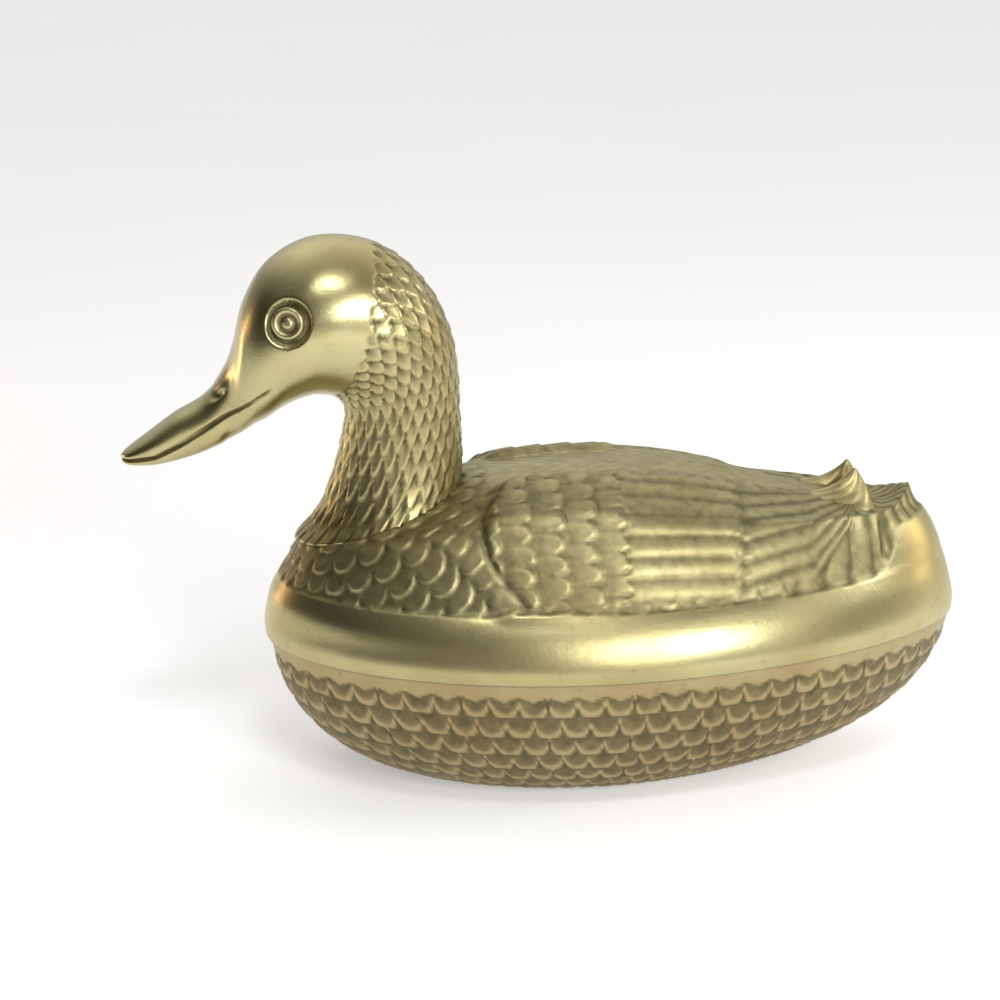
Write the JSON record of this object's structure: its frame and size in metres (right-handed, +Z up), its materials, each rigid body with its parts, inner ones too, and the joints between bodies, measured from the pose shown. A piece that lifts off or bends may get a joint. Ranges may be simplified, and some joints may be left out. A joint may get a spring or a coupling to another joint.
{
  "type": "lidded duck box",
  "caption": "Cast brass box in the shape of a swimming duck: scaled bowl below, feathered lid with head and upturned tail above.",
  "frame": {"origin": "centre of the bowl's flat foot, under the widest part of the duck", "axes": "+X from beak to tail, +Y to the duck's right, +Z up; the duck stands on Z = 0"},
  "size_m": [0.2079, 0.0894, 0.1349],
  "materials": {
    "bowl_brass": "cast, scaled, dark in the hollows",
    "lid_brass": "satin cast brass with a smooth band",
    "head_brass": "satin cast brass, smooth face and scaled neck",
    "eye_brass": "turned brass",
    "fixing_brass": "machined brass"
  },
  "bodies": {
    "base": {"bowl": "bowl_brass"},
    "cover": {"lid": "lid_brass", "head_and_neck": "head_brass", "eye_left": "eye_brass", "eye_right": "eye_brass", "neck_stud": "fixing_brass", "neck_washer": "fixing_brass", "neck_nut": "fixing_brass"}
  },
  "joints": [
    {"name": "lid_lift", "type": "slide", "parent": "base", "child": "cover", "axis": [0, 0, 1], "range_m": [0, 0.08]}
  ]
}
